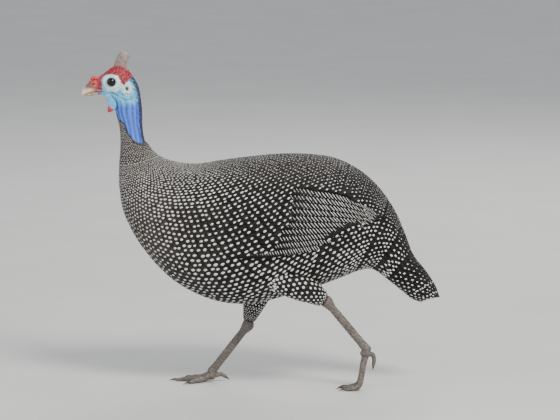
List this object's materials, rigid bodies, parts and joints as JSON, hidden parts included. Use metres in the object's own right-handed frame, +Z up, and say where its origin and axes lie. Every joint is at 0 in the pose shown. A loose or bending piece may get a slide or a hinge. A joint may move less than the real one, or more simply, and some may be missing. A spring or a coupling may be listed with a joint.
{
  "type": "helmeted guineafowl model",
  "caption": "Life-size still model of a walking helmeted guineafowl, with casque, wattles, folded wings, drooping tail and feet flat on the floor.",
  "frame": {"origin": "middle of the underside of the bird's bounding box, on the floor that the feet stand on", "axes": "+Z up, the bird faces -X, its left side is -Y"},
  "size_m": [0.43, 0.143, 0.4052],
  "materials": {
    "plumage": "matt dark feathers with round white spots",
    "neck_skin": "bare cobalt skin with fine folds",
    "face_skin": "bare pale blue skin with a red crown",
    "wattle_skin": "soft blue skin with red tips",
    "bill_horn": "dull horn, paler at the edges",
    "casque_horn": "dull weathered horn",
    "eye": "wet and glossy, dark",
    "leg_scales": "grey-brown scutes",
    "claw_horn": "dark horn"
  },
  "bodies": {
    "root": {"torso": "plumage", "neck": "neck_skin", "head": "face_skin", "bill_upper": "bill_horn", "bill_lower": "bill_horn", "casque": "casque_horn", "tail": "plumage", "eye_left": "eye", "eye_right": "eye", "wattle_left": "wattle_skin", "wattle_right": "wattle_skin", "wing_left": "plumage", "wing_right": "plumage", "drumstick_left": "plumage", "drumstick_right": "plumage", "shank_left": "leg_scales", "shank_right": "leg_scales", "foot_left": "leg_scales", "foot_right": "leg_scales", "claw_inner_left": "claw_horn", "claw_middle_left": "claw_horn", "claw_outer_left": "claw_horn", "claw_rear_left": "claw_horn", "claw_inner_right": "claw_horn", "claw_middle_right": "claw_horn", "claw_outer_right": "claw_horn", "claw_rear_right": "claw_horn"}
  },
  "joints": []
}
